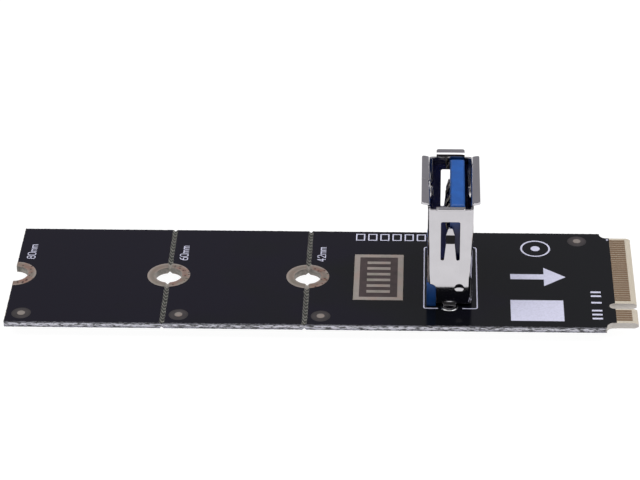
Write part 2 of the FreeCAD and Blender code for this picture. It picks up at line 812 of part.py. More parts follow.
def flat_contact(name, place):
    """Contact that lies flush in the tongue's face near its tip and runs down inside the tongue."""
    lie = contact_face.value + dim.strip.value / 2
    tail = flat_tail_x.value
    high = (tongue_tip - dim.flat_top).value
    low = high - dim.flat_length.value
    step = tail - lie
    lower = [(tail, -dim.tail_reach.value), (tail, base_low.value)]
    upper = [(tail, base_low.value), (tail, low - step), (lie, low), (lie, high)]
    blade = bent_strip(upper, (NONE, NONE), dim.strip, dim.flat_width)
    legs = bent_strip(lower, (), dim.strip, dim.tail_width)
    return shaped(name, blade.fuse(legs).removeSplitter(), (0, place, 0))


def moulding():
    body = new_body("socket_moulding")
    room = dim.fit_gap
    base = new_sketch(body, "moulding_base", "XY_Plane", base_low)
    half_x = inner_x - room
    half_y = inner_y - room
    rectangle(base, (socket_x - half_x, -half_y), (socket_x + half_x, half_y))
    block = pad(body, base, base_top - base_low)
    trim_edges(body, "Fillet", "Radius", block, lambda middle, way: upright(way), dim.fold_radius)
    tongue = new_sketch(body, "moulding_tongue", "XY_Plane", base_low)
    half = dim.tongue_width / 2
    back = contact_face + dim.tongue_thick
    rectangle(tongue, (contact_face, -half), (back, half))
    blade = pad(body, tongue, tongue_tip - base_low)
    short = trim_edges(
        body, "Chamfer", "Size", blade,
        lambda middle, way: near(middle.z, tongue_tip) and near(abs(way.x), 1), dim.tongue_end,
    )
    trim_edges(
        body, "Chamfer", "Size", short,
        lambda middle, way: near(middle.z, tongue_tip) and near(abs(way.y), 1), dim.tongue_chamfer,
    )
    return body


def socket_insulator(contacts):
    body = moulding()
    feet = [foot_blank(f"{side}_foot", way, NONE) for side, way in (("near", -1), ("far", 1))]
    solid = fuse("moulding_solid", [body] + feet)
    tools = list(contacts)
    groove = dim.sprung_width / 2 + dim.groove_room
    for index, place in enumerate(sprung_places):
        tools.append(box(
            f"contact_groove_{index}",
            (contact_face - CUT_PAST, place - groove, base_top),
            (contact_face + dim.strip + dim.groove_room, place + groove,
             top + dim.sprung_tip_height + dim.strip + dim.groove_room),
        ))
    return cut("socket_insulator", solid, fuse("moulding_cuts", tools))


def tail_guide():
    """Plate under the moulding that keeps the tails at their spacing."""
    body = new_body("tail_guide")
    plate = new_sketch(body, "guide_plate", "XY_Plane", top)
    room = dim.fit_gap
    left = socket_x - inner_x + room
    right = socket_x + inner_x - room
    foot_x = socket_x - outer_x + dim.foot_length + room
    foot_y = outer_y - dim.foot_width - room
    end = leg_y - dim.leg_joint_dia / 2 - room
    polygon(plate, [
        (left, -foot_y), (foot_x, -foot_y), (foot_x, -end), (right, -end),
        (right, end), (foot_x, end), (foot_x, foot_y), (left, foot_y),
    ])
    pad(body, plate, dim.guide_thick)
    holes = new_sketch(body, "guide_holes", "XY_Plane")
    half_x = dim.strip / 2 + dim.guide_room
    half_y = dim.tail_width / 2 + dim.guide_room
    for x, y in tail_places:
        rectangle(holes, (x - half_x, y - half_y), (x + half_x, y + half_y))
    pocket(body, holes)
    return body


# Solder


def signal_solder():
    """A cone under the board and the filled hole round each tail."""
    joints = []
    for index, (x, y) in enumerate(tail_places):
        filled = tail_core(f"solder_core_{index}", (x, y))
        cone = tapered(f"solder_cone_{index}", (x, y, -dim.joint_height), dim.tail_hole / 2,
                       dim.joint_dia / 2, dim.joint_height, SMALL_SIDES)
        tail = box(f"solder_tail_{index}", (x - dim.strip / 2, y - dim.tail_width / 2, -dim.tail_reach),
                   (x + dim.strip / 2, y + dim.tail_width / 2, top + CUT_PAST))
        joints.append(cut(f"solder_joint_{index}", fuse(f"solder_body_{index}", [filled, cone]), tail))
    return group("signal_solder_joints", joints)


def leg_solder():
    """Solder that fills each leg's slot and climbs the leg on both faces."""
    joints = []
    foot = dim.leg_joint_dia / 2
    thin = dim.leg_width / 2 + dim.leg_joint_end
    for side, way in (("near", -1), ("far", 1)):
        name = f"{side}_leg_solder"
        middle = leg_y * way
        cone = tapered(name + "_cone", (socket_x, middle, -dim.leg_joint_height), thin, foot,
                       dim.leg_joint_height, LARGE_SIDES)
        fillet = tapered(name + "_fillet", (socket_x, middle, top), foot, thin, dim.leg_fillet_height,
                         LARGE_SIDES)
        core = slot_core(name + "_core", way)
        leg = shaped(name + "_leg", shell_leg(), (socket_x, wall_y * way, NONE), -90 * way)
        joints.append(cut(name, fuse(name + "_solid", [cone, fillet, core]), leg))
    return group("shell_solder_joints", joints)


def build():
    sprung_names = ("power_contact", "data_minus_contact", "data_plus_contact", "ground_contact")
    flat_names = ("receive_minus_contact", "receive_plus_contact", "drain_contact", "transmit_minus_contact",
                  "transmit_plus_contact")
    contacts = [sprung_contact(name, place) for name, place in zip(sprung_names, sprung_places)]
    contacts += [flat_contact(name, place) for name, place in zip(flat_names, flat_places)]
    top_first = half_plug - dim.finger_edge
    low_first = top_first - dim.finger_spacing / 2
    parts = [
        circuit_board(),
        plug_contacts("plug_contacts_top", top, top_first),
        plug_contacts("plug_contacts_bottom", -dim.foil, low_first),
        placing_marks(),
        copper_panel(),
        socket_shell(),
        socket_insulator(contacts),
        tail_guide(),
        signal_solder(),
        leg_solder(),
    ]
    for name, place in zip(("screw_ring_42", "screw_ring_60", "screw_ring_80"), screw_places):
        parts.append(screw_ring(name, place))
    return parts + contacts


def main():
    parts = build()
    doc.recompute()
    for item in doc.Objects:
        if "Invalid" in item.State or "Error" in item.State:
            raise RuntimeError(f"{item.Name} did not build: {item.State}")
    for item in parts:
        if item.Shape.isNull() or not item.Shape.isValid() or not item.Shape.Solids:
            raise RuntimeError(f"{item.Label} has no valid solid")
    os.makedirs("parts", exist_ok=True)
    for item in parts:
        item.Shape.exportStep(f"parts/{item.Label}.step")
        print(item.Label, len(item.Shape.Solids), round(item.Shape.Volume, 4))


main()
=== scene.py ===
import math
import random

import bmesh
import bpy
from bpy.props import FloatProperty, FloatVectorProperty, IntProperty, PointerProperty
from bpy.types import Operator, Panel, PropertyGroup
from mathutils import Euler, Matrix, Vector


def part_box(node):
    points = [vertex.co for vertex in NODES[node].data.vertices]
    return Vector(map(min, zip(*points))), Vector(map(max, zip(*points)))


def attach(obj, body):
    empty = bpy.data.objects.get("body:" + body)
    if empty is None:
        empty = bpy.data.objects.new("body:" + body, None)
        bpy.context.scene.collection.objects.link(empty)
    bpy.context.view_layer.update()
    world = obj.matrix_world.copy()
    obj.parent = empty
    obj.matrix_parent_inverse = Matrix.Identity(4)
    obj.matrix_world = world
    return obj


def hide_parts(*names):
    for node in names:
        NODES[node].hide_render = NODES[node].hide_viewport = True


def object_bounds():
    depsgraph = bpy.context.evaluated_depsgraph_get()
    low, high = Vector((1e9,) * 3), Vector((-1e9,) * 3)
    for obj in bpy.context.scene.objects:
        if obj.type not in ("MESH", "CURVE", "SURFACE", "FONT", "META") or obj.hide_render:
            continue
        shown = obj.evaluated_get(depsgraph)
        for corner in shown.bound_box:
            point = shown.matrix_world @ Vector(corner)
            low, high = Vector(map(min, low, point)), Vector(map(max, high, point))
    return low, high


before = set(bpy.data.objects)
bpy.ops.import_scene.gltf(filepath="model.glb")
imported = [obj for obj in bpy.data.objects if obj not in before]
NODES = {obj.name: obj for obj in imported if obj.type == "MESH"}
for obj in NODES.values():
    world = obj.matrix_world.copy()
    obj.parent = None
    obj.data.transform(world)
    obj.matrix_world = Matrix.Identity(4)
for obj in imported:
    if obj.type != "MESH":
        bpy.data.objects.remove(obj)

bl_info = {
    "name": "Riser card",
    "version": (1, 0, 0),
    "blender": (4, 5, 0),
    "location": "3D View > Sidebar > Riser card",
    "description": "Dresses a slim adapter card with an upright socket and sets it on a studio floor",
    "category": "Object",
}

MM = 0.001
ROOT = "root"
CAD_BOX = [list(corner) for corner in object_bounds()]
BOARD_LOW, BOARD_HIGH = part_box("circuit_board")
SHELL_LOW, SHELL_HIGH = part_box("socket_shell")
PANEL_LOW, PANEL_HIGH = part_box("copper_panel")
CONTACTS = (
    "power_contact", "data_minus_contact", "data_plus_contact", "ground_contact", "receive_minus_contact",
    "receive_plus_contact", "drain_contact", "transmit_minus_contact", "transmit_plus_contact",
)
# Each ring with the card length that is marked beside it, far end of the card first
RINGS = {"screw_ring_80": 80, "screw_ring_60": 60, "screw_ring_42": 42}
# Strokes of each letter of the length marks, in hundredths of its height
HUNDREDTH = 0.01
LETTERS = {
    "0": [[(14, 0), (46, 0), (60, 20), (60, 80), (46, 100), (14, 100), (0, 80), (0, 20), (14, 0)]],
    "2": [[(0, 78), (12, 100), (48, 100), (60, 82), (60, 66), (0, 0), (60, 0)]],
    "4": [[(42, 0), (42, 100), (0, 33), (60, 33)]],
    "6": [[(50, 100), (20, 85), (0, 50), (0, 16), (12, 0), (48, 0), (60, 15), (60, 40), (48, 55), (12, 55),
           (0, 40)]],
    "8": [[(12, 53), (0, 40), (0, 14), (12, 0), (48, 0), (60, 14), (60, 40), (48, 53), (12, 53), (3, 64),
           (3, 88), (14, 100), (46, 100), (57, 88), (57, 64), (48, 53)]],
    "m": [[(0, 0), (0, 62)], [(0, 50), (12, 62), (28, 62), (36, 50), (36, 0)],
          [(36, 50), (48, 62), (64, 62), (72, 50), (72, 0)]],
}


def length(name, description, size):
    return FloatProperty(name=name, description=description, default=size * MM, unit="LENGTH", precision=5,
                         min=0.0)


def number(name, description, value, unit="NONE"):
    return FloatProperty(name=name, description=description, default=value, unit=unit, min=0.0)


def count(name, description, value):
    return IntProperty(name=name, description=description, default=value, min=1)


def tint(name, description, colour):
    return FloatVectorProperty(name=name, description=description, default=colour, subtype="COLOR", size=3,
                               min=0.0, max=1.0)


class RISER_PG_board(PropertyGroup):
    """Sizes and colours of the board's coats and copper."""

    coat: length("Mask", "Thickness of the solder mask", 0.02)
    plug_length: length("Plug length", "Plug edge to the shoulders", 4.0)
    plug_bare: length("Bare plug", "Plug edge to the start of the mask", 2.74)
    bevel: length("Bevel", "Plug edge to the end of its plain bevel", 0.55)
    shoulder: length("Shoulder", "Long edge to the side of the plug", 1.075)
    shoulder_round: length("Shoulder radius", "Inside corner of each shoulder", 0.9)
    key_offset: length("Key offset", "Key slot from the middle", 6.125)
    key_width: length("Key width", "Width of the key slot", 1.2)
    key_depth: length("Key depth", "Plug edge to the end of the key slot", 3.5)
    groove: length("Groove", "Width of a snap-off groove at the face", 0.5)
    ring_gap: length("Ring gap", "Bare copper to the mask", 0.03)
    mark_gap: length("Mark gap", "Placing mark to the mask", 0.75)
    fray: length("Fray", "Depth of chips along a cut edge of the mask", 0.09)
    fine_fray: length("Fine fray", "Depth of chips beside the bare plug edge", 0.03)
    fray_step: length("Fray step", "Spacing of chips", 0.16)
    tooth: length("Tooth", "Depth of the mask's teeth along a groove", 0.2)
    tooth_step: length("Tooth step", "Half the spacing of teeth", 0.36)
    ink: length("Ink", "Thickness of the printed marks", 0.012)
    letter: length("Letter", "Height of the length marks", 1.0)
    top_seed: count("Upper chips", "Seed of the chips in the upper mask", 3)
    bottom_seed: count("Lower chips", "Seed of the chips in the lower mask", 8)
    mask: tint("Mask colour", "Solder mask", (0.0030, 0.0034, 0.0046))
    mask_far: tint("Mask far end", "Solder mask at the far end", (0.0034, 0.0026, 0.0082))
    field: tint("Panel field", "Coat inside the copper panel", (0.044, 0.029, 0.029))
    white: tint("Ink colour", "Printed marks", (0.57, 0.57, 0.71))
    laminate: tint("Laminate", "Bare glass-fibre laminate", (0.47, 0.42, 0.34))
    fibre: tint("Fibre", "Broken glass fibres on cut edges", (0.82, 0.81, 0.90))
    routed: tint("Routed edge", "Smooth routed sides of the plug edge", (0.70, 0.655, 0.615))
    groove_floor: tint("Groove", "Cut yarn in the snap-off grooves", (0.26, 0.257, 0.23))
    ring_wall: tint("Ring wall", "Walls inside the screw rings", (0.30, 0.275, 0.245))
    mark_field: tint("Mark field", "Bare disc round a placing mark", (0.036, 0.030, 0.031))
    copper: tint("Bare copper", "Dull plated copper", (0.38, 0.335, 0.305))
    stain: tint("Copper stain", "Reddish stains on the screw rings", (0.30, 0.12, 0.085))
    speck: tint("Copper specks", "Dark specks on the screw rings", (0.05, 0.022, 0.02))
    gold: tint("Plug gold", "Gold plate of the plug contacts", (0.336, 0.222, 0.138))


class RISER_PG_socket(PropertyGroup):
    """Sizes and colours of the socket."""

    steel_edge: length("Sheet edge", "Rounding of the shell's sheared edges", 0.025)
    flare_corner: length("Flare corner", "Rounding of the flares' corners", 0.3)
    window_corner: length("Window corner", "Rounding of the windows' upper corners", 0.22)
    moulded_edge: length("Moulded edge", "Rounding of the moulding's edges", 0.05)
    contact_edge: length("Contact edge", "Rounding of the contacts' edges", 0.02)
    bead_sides: count("Bead sides", "Sides of a solder joint", 40)
    steel: tint("Shell", "Bright nickel plate", (0.57, 0.555, 0.58))
    blue: tint("Moulding", "Blue moulded plastic", (0.008, 0.075, 0.30))
    # Painted shade: a darker blue for the moulding where little light reaches, deep in the mouth and in
    # the block behind the windows
    blue_painted_shade: tint("Moulding base", "Blue plastic deep in the mouth", (0.004, 0.009, 0.085))
    black: tint("Guide", "Black moulded plastic", (0.012, 0.012, 0.013))
    contact: tint("Contacts", "Gold flash", (0.17, 0.155, 0.13))
    solder: tint("Solder", "Bright solder", (0.72, 0.72, 0.73))


class RISER_PG_stage(PropertyGroup):
    """Floor, lamps and camera."""

    floor_side: length("Floor", "Half the floor's width, and its depth in front", 1500.0)
    floor_back: length("Floor behind", "Depth of the floor behind the card", 300.0)
    floor: tint("Floor colour", "Pale floor", (0.07, 0.07, 0.07))
    floor_glow: number("Floor glow", "Light through the floor", 0.97)
    back_wall: tint("Back wall", "Light from behind the card", (0.335, 0.33, 0.35))
    dark_side: tint("Camera side", "Light from behind the camera", (0.03, 0.03, 0.03))
    lamp_side: length("Lamp", "Side of each lamp", 420.0)
    lamp_height: length("Lamp height", "Floor to the overhead lamp", 450.0)
    lamp_power: number("Overhead power", "Overhead lamp", 1.1, "POWER")
    side_power: number("Side power", "Each side lamp", 2.5, "POWER")
    side_reach: length("Side reach", "Card to each side lamp", 430.0)
    side_height: length("Side height", "Floor to each side lamp", 640.0)
    lens: number("Lens", "Camera lens", 153.03, "CAMERA")
    camera_place: FloatVectorProperty(
        name="Camera", description="Place of the camera", default=(-0.027019, -0.293901, 0.192599),
        subtype="TRANSLATION", unit="LENGTH", size=3)
    camera_turn: FloatVectorProperty(
        name="Camera angles", description="Turn of the camera", subtype="EULER", unit="ROTATION", size=3,
        default=[math.radians(turn) for turn in (57.66977, 0.70765, 2.14846)])


# Outlines, in metres on the board's face


def arc(middle, radius, start, end, steps=16):
    """Points on a round stretch, angles in degrees."""
    turns = [math.radians(start + (end - start) * step / steps) for step in range(steps + 1)]
    return [(middle[0] + radius * math.cos(turn), middle[1] + radius * math.sin(turn)) for turn in turns]


def circle(middle, radius, sides):
    return arc(middle, radius, 0.0, 360.0 * (sides - 1) / sides, sides - 1)


def rectangle(low, high):
    return [(low[0], low[1]), (high[0], low[1]), (high[0], high[1]), (low[0], high[1])]


def broken(start, end, step, chip):
    """Points from start to end; chip gives the shift of each in steps, and its depth to the left."""
    start, end = Vector(start), Vector(end)
    last = max(2, round((end - start).length / step))
    left = Vector((start.y - end.y, end.x - start.x)).normalized()
    points = []
    for index in range(last + 1):
        shift, depth = chip(index)
        along = min(max(index + shift, 0.0), last) / last
        points.append(tuple(start.lerp(end, along) + left * depth))
    return points


def ring_places():
    """Place along X and radius of each bare ring, far end of the card first."""
    places = []
    for name in RINGS:
        low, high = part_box(name)
        radius = (high.y - low.y) / 2
        places.append((high.x - radius, radius))
    return places


def ring_middles():
    return [(place, 0.0) for place, _ in ring_places()]


class MaskOutlines:
    """Outlines of the three mask panels that the grooves leave, with chipped edges."""

    # Shift of a chip in steps, and bites as shares of a tooth
    shift = 0.35
    deep_bite = (0.55, 1.0)
    slight_bite = (0.0, 0.25)
    ring_steps = 48

    def __init__(self, settings, seed):
        self.settings = settings
        self.chips = random.Random(seed)
        self.low, self.high = BOARD_LOW.y, BOARD_HIGH.y

    def panels(self):
        far, middle, short = ring_places()
        return [
            self.panel(self.card_end(far), self.groove_side(middle, -1)),
            self.panel(self.groove_side(middle, 1), self.groove_side(short, -1)),
            self.panel(self.groove_side(short, 1), self.plug_end()),
        ]

    def panel(self, left, right):
        """Near edge, right end, far edge and left end; an end is its place along X and what draws it."""
        start, draw_left = left
        end, draw_right = right
        points = self.rough((start, self.low), (end, self.low)) + draw_right()
        return points + self.rough((end, self.high), (start, self.high)) + draw_left()

    def cut(self, start, end, depth):
        """Cut edge with small chips."""
        def chip(_):
            return self.chips.uniform(-self.shift, self.shift), depth * self.chips.random() ** 2
        return broken(start, end, self.settings.fray_step, chip)

    def rough(self, start, end):
        return self.cut(start, end, self.settings.fray)

    def torn(self, start, end):
        """Uneven teeth along a groove."""
        def tooth(index):
            bite = self.deep_bite if index % 2 else self.slight_bite
            return 0.0, self.settings.tooth * self.chips.uniform(*bite)
        return broken(start, end, self.settings.tooth_step, tooth)

    def card_end(self, ring):
        return self.ring_side(ring, 1, 0.0, self.rough)

    def groove_side(self, ring, way):
        return self.ring_side(ring, way, self.settings.groove / 2, self.torn)

    def ring_side(self, ring, way, half, straight):
        """Straight edge half a groove from a ring's middle, and round edge; way is 1 on its +X side."""
        middle, radius = ring
        reach = radius + self.settings.ring_gap
        edge = middle + way * half
        cross = way * math.sqrt(reach ** 2 - half ** 2)
        corner = math.degrees(math.acos(half / reach))
        start = 0.0 if way > 0 else 180.0

        def draw():
            points = straight((edge, way * self.high), (edge, cross))
            points += arc((middle, 0.0), reach, start + corner, start - corner, self.ring_steps)
            return points + straight((edge, -cross), (edge, way * self.low))
        return edge, draw

    def plug_end(self):
        """Shoulders, start of the bare plug edge and end of the key slot."""
        settings = self.settings
        neck = BOARD_HIGH.x - settings.plug_length
        bare = BOARD_HIGH.x - settings.plug_bare
        radius = settings.shoulder_round
        side = self.high - settings.shoulder
        key_round = settings.key_width / 2
        key = (BOARD_HIGH.x - settings.key_depth + key_round, -settings.key_offset)

        def draw():
            points = arc((neck + radius, -side - radius), radius, 180.0, 90.0)
            points += self.cut((bare, -side), (bare, key[1] - key_round), settings.fine_fray)
            points += arc(key, key_round, 270.0, 90.0)
            points += self.cut((bare, key[1] + key_round), (bare, side), settings.fine_fray)
            return points + arc((neck + radius, side + radius), radius, 270.0, 180.0)
        return neck, draw


# Meshes

# Corners of a mesh that lie closer than this are one
WELD = MM / 1000
# Edges turned by more than the first angle are rounded, and those between broad faces by the second
HARD_TURN = math.radians(30.0)
SLIGHT_TURN = math.radians(6.0)
BROAD_FACE = 0.15 * MM ** 2
FLAT_TURN = math.radians(0.5)
CORNER_STEPS = 4
EDGE_STEPS = 2


def islands(node):
    """Lowest and highest corner of each separate solid of a CAD piece, from -X to +X."""
    solids = bmesh.new()
    solids.from_mesh(NODES[node].data)
    bmesh.ops.remove_doubles(solids, verts=solids.verts, dist=WELD)
    waiting = set(solids.verts)
    boxes = []
    while waiting:
        front = [waiting.pop()]
        corners = []
        while front:
            here = front.pop()
            corners.append(here.co.copy())
            found = {edge.other_vert(here) for edge in here.link_edges} & waiting
            waiting -= found
            front.extend(found)
        boxes.append((Vector(map(min, zip(*corners))), Vector(map(max, zip(*corners)))))
    solids.free()
    return sorted(boxes, key=lambda box: tuple(box[0] + box[1]))


def add_piece(name, mesh, finish, replaced=()):
    """A piece of the card with its finish, tied to the card's one body."""
    piece = bpy.data.objects.new(name, mesh)
    bpy.context.scene.collection.objects.link(piece)
    mesh.materials.clear()
    mesh.materials.append(finish)
    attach(piece, ROOT)
    if replaced:
        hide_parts(*replaced)
    return piece


def dress(names, finish):
    """Finishes CAD pieces that show as they are."""
    for name in names:
        NODES[name].material_slots[0].material = finish


def plate(name, outlines, low, high):
    """Flat plate between two heights; an outline inside another is a hole."""
    curve = bpy.data.curves.new(name, "CURVE")
    curve.dimensions = "2D"
    curve.fill_mode = "BOTH"
    curve.extrude = (high - low) / 2
    for outline in outlines:
        spline = curve.splines.new("POLY")
        spline.points.add(len(outline) - 1)
        spline.points.foreach_set("co", [part for x, y in outline for part in (x, y, 0.0, 1.0)])
        spline.use_cyclic_u = True
    holder = bpy.data.objects.new(name, curve)
    mesh = bpy.data.meshes.new_from_object(holder)
    mesh.name = name
    bpy.data.objects.remove(holder)
    bpy.data.curves.remove(curve)
    solid = bmesh.new()
    solid.from_mesh(mesh)
    bmesh.ops.translate(solid, verts=solid.verts, vec=(0.0, 0.0, (low + high) / 2))
    bmesh.ops.remove_doubles(solid, verts=solid.verts, dist=WELD / 10)
    bmesh.ops.recalc_face_normals(solid, faces=solid.faces)
    return filled(mesh, solid)


def filled(mesh, solid):
    solid.to_mesh(mesh)
    solid.free()
    return mesh


def strokes(name, lines, width, low, high):
    """Flat bars along the stretches of each line; each bar is a little lower than the one before it."""
    last_drop = (high - low) / 2
    solid = bmesh.new()
    stretches = [(Vector(start), Vector(end)) for line in lines for start, end in zip(line, line[1:])]
    for index, (start, end) in enumerate(stretches):
        past = (end - start).normalized() * width / 2
        aside = Vector((-past.y, past.x))
        corners = (start - past - aside, end + past - aside, end + past + aside, start - past + aside)
        upper = high - last_drop * index / len(stretches)
        floor = [solid.verts.new((*corner, low)) for corner in corners]
        cover = [solid.verts.new((*corner, upper)) for corner in corners]
        solid.faces.new(list(reversed(floor)))
        solid.faces.new(cover)
        join_rows(solid, floor, cover)
    return filled(bpy.data.meshes.new(name), solid)


def join_rows(solid, low, high):
    """Walls between two closed rows of corners."""
    walls = []
    for step in range(len(low)):
        following = (step + 1) % len(low)
        walls.append(solid.faces.new((low[step], low[following], high[following], high[step])))
    return walls


def softened(node, edge, corners=(), kept=None):
    """Mesh of a CAD piece with rounded edges; corners holds a radius and a test for each larger corner,
    and kept tests for edges that stay sharp."""
    mesh = NODES[node].data.copy()
    mesh.name = node
    if mesh.has_custom_normals:
        mesh.attributes.remove(mesh.attributes["custom_normal"])
    solid = bmesh.new()
    solid.from_mesh(mesh)
    bmesh.ops.remove_doubles(solid, verts=solid.verts, dist=WELD)
    bmesh.ops.dissolve_limit(solid, angle_limit=FLAT_TURN, verts=solid.verts, edges=solid.edges)
    for radius, chosen in corners:
        rounded(solid, [side for side in solid.edges if chosen(side)], radius, CORNER_STEPS)
    for face in solid.faces:
        face.smooth = True
    for side in solid.edges:
        side.smooth = not (kept and kept(side))
    sharp = [side for side in solid.edges if side.smooth and is_sharp(side)]
    rounded(solid, sharp, edge, EDGE_STEPS)
    return filled(mesh, solid)


def rounded(solid, sides, radius, steps):
    bmesh.ops.bevel(solid, geom=sides, offset=radius, offset_type="OFFSET", segments=steps, profile=0.5,
                    affect="EDGES", clamp_overlap=False)


def is_sharp(side):
    """True for a hard edge, and for a slight corner between two broad faces."""
    if len(side.link_faces) != 2:
        return False
    turn = side.calc_face_angle()
    broad = all(face.calc_area() > BROAD_FACE for face in side.link_faces)
    return turn > HARD_TURN or (broad and turn > SLIGHT_TURN)


def even_shading(piece):
    """Lets broad faces keep their own direction, so that reflections on them stay flat."""
    shading = piece.modifiers.new("even_shading", "WEIGHTED_NORMAL")
    shading.weight = 100
    shading.keep_sharp = True


def turned(solid, profile, middle, sides):
    """Adds a turned solid to a bmesh: profile is radius and height from the bottom up."""
    rows = [
        [solid.verts.new((*place, height)) for place in circle(middle, radius, sides)]
        for radius, height in profile
    ]
    for low, high in zip(rows, rows[1:]):
        for wall in join_rows(solid, low, high):
            wall.smooth = True
    solid.faces.new(list(reversed(rows[0])))
    solid.faces.new(rows[-1])


# Finishes; a fade is a pair, its start and its width


def tinted(colour, factor):
    return tuple(min(1.0, part * factor) for part in colour)


def paint(colour, factor=1.0):
    """A colour as a shader's socket takes it."""
    return (*tinted(colour, factor), 1.0)


class Nodes:
    """A node tree and short ways to add to it."""

    def __init__(self, tree):
        self.tree = tree

    def add(self, kind, **inputs):
        node = self.tree.nodes.new(kind)
        self.feed_all(node, inputs)
        return node

    def feed_all(self, node, inputs):
        """Feeds sockets that are named with underscores for spaces."""
        for socket, value in inputs.items():
            self.feed(node, socket.replace("_", " "), value)

    def feed(self, node, socket, value):
        if isinstance(value, bpy.types.NodeSocket):
            self.tree.links.new(value, node.inputs[socket])
        else:
            node.inputs[socket].default_value = value

    def split(self, vector):
        node = self.add("ShaderNodeSeparateXYZ", Vector=vector)
        return [node.outputs[axis] for axis in "XYZ"]

    def math(self, operation, first, second, kind="ShaderNodeMath"):
        node = self.tree.nodes.new(kind)
        node.operation = operation
        self.feed(node, 0, first)
        self.feed(node, 1, second)
        return node.outputs["Value"]

    def size(self, source):
        return self.math("ABSOLUTE", source, 0.0)

    def both(self, first, second):
        return self.math("MULTIPLY", first, second)

    def spread(self, source, low, high, start=0.0, end=1.0):
        """Low up to the start of a source, and high from its end."""
        return self.add("ShaderNodeMapRange", Value=source, From_Min=start, From_Max=end, To_Min=low,
                        To_Max=high).outputs["Result"]

    def rise(self, source, start, width):
        """0 up to the start of a source, and 1 from the width past it."""
        return self.spread(source, 0.0, 1.0, start, start + width)

    def drop(self, source, start, width):
        """1 up to the start of a source, and 0 from the width past it."""
        return self.spread(source, 1.0, 0.0, start, start + width)

    def shades(self, source, stops):
        """Colours along a source from 0 to 1."""
        ramp = self.add("ShaderNodeValToRGB", Fac=source)
        while len(ramp.color_ramp.elements) < len(stops):
            ramp.color_ramp.elements.new(1.0)
        for stop, (place, colour) in zip(ramp.color_ramp.elements, stops):
            stop.position = place
            stop.color = paint(colour)
        return ramp.outputs["Color"]

    def mottle(self, source, colour, dark, light=1.0, start=0.3, end=0.7):
        """A colour times dark up to the start of a source, and times light from its end."""
        return self.shades(source, ((start, tinted(colour, dark)), (end, tinted(colour, light))))

    def blend(self, amount, first, second, kind="MIX"):
        node = self.tree.nodes.new("ShaderNodeMix")
        node.data_type = "RGBA"
        node.blend_type = kind
        for socket, value in ((0, amount), (6, first), (7, second)):
            self.feed(node, socket, value)
        return node.outputs[2]

    def shaded(self, colour, shade):
        return self.blend(1.0, colour, shade, "MULTIPLY")


class Finish(Nodes):
    """A material whose textures are laid out in millimetres on the card."""

    # Longer than the card, in metres
    far = 1.0
    # Grain in millimetres of a texture that doesn't change along an axis
    still = 1000.0

    def __init__(self, name, **inputs):
        self.material = bpy.data.materials.new(name)
        self.material.use_nodes = True
        super().__init__(self.material.node_tree)
        self.shader = self.tree.nodes["Principled BSDF"]
        self.feed_all(self.shader, inputs)
        self.place = self.add("ShaderNodeTexCoord").outputs["Object"]

    def level(self):
        """1 on faces that lie flat and 0 on upright ones."""
        facing = self.add("ShaderNodeNewGeometry").outputs["True Normal"]
        return self.size(self.split(facing)[2])

    def lay(self, grain):
        """Coordinates in grains; a grain's size in millimetres is one number, or one for each axis."""
        sizes = grain if isinstance(grain, tuple) else (grain, grain, grain)
        scale = tuple(1.0 / (MM * size) for size in sizes)
        return self.add("ShaderNodeMapping", Vector=self.place, Scale=scale).outputs["Vector"]

    def reach(self, places):
        """Distance over the board's face to the closest of the places."""
        flat = self.add("ShaderNodeMapping", Vector=self.place, Scale=(1.0, 1.0, 0.0)).outputs["Vector"]
        kind = "ShaderNodeVectorMath"
        return self.least(self.math("DISTANCE", flat, (*place, 0.0), kind) for place in places)

    def beside(self, source, places):
        """Distance of a source to the closest of the places."""
        return self.least(self.size(self.math("SUBTRACT", source, place)) for place in places)

    def least(self, distances):
        closest = self.far
        for away in distances:
            closest = self.math("MINIMUM", away, closest)
        return closest

    def rope(self, grain):
        """Slanting bands, uneven like cut yarn."""
        node = self.add("ShaderNodeTexWave", Vector=self.lay((*grain, self.still)), Scale=1.0,
                        Distortion=1.6, Detail=2.0, Detail_Scale=2.0)
        node.bands_direction = "DIAGONAL"
        return node.outputs["Fac"]

    def cloud(self, grain, detail=3.0, roughness=0.55):
        return self.add("ShaderNodeTexNoise", Vector=self.lay(grain), Scale=1.0, Detail=detail,
                        Roughness=roughness).outputs["Fac"]

    def specks(self, grain, randomness=1.0):
        return self.add("ShaderNodeTexVoronoi", Vector=self.lay(grain), Scale=1.0,
                        Randomness=randomness).outputs["Distance"]

    def colour(self, source):
        self.feed(self.shader, "Base Color", source)

    def rough(self, source, low, high):
        self.feed(self.shader, "Roughness", self.spread(source, low, high))

    def bumps(self, source, depth, strength):
        """Relief, its depth in millimetres."""
        node = self.add("ShaderNodeBump", Height=source, Strength=strength, Distance=depth * MM)
        self.feed(self.shader, "Normal", node.outputs["Normal"])


def mask_finish(settings):
    """Glossy blue-black solder mask, bluer towards the far end, with a faint unevenness."""
    finish = Finish("board_mask", Specular_IOR_Level=0.24)
    along = finish.rise(finish.split(finish.place)[0], BOARD_LOW.x, BOARD_HIGH.x - BOARD_LOW.x)
    drift = finish.spread(finish.cloud((14.0, 9.0, 9.0), detail=2.0), -0.25, 0.25, 0.3, 0.7)
    place = finish.math("ADD", along, drift)
    finish.colour(finish.shades(place, ((0.35, settings.mask_far), (0.7, settings.mask))))
    finish.rough(finish.cloud(0.8), 0.10, 0.19)
    finish.bumps(finish.cloud(0.35, detail=2.0), 0.002, 0.35)
    return finish.material


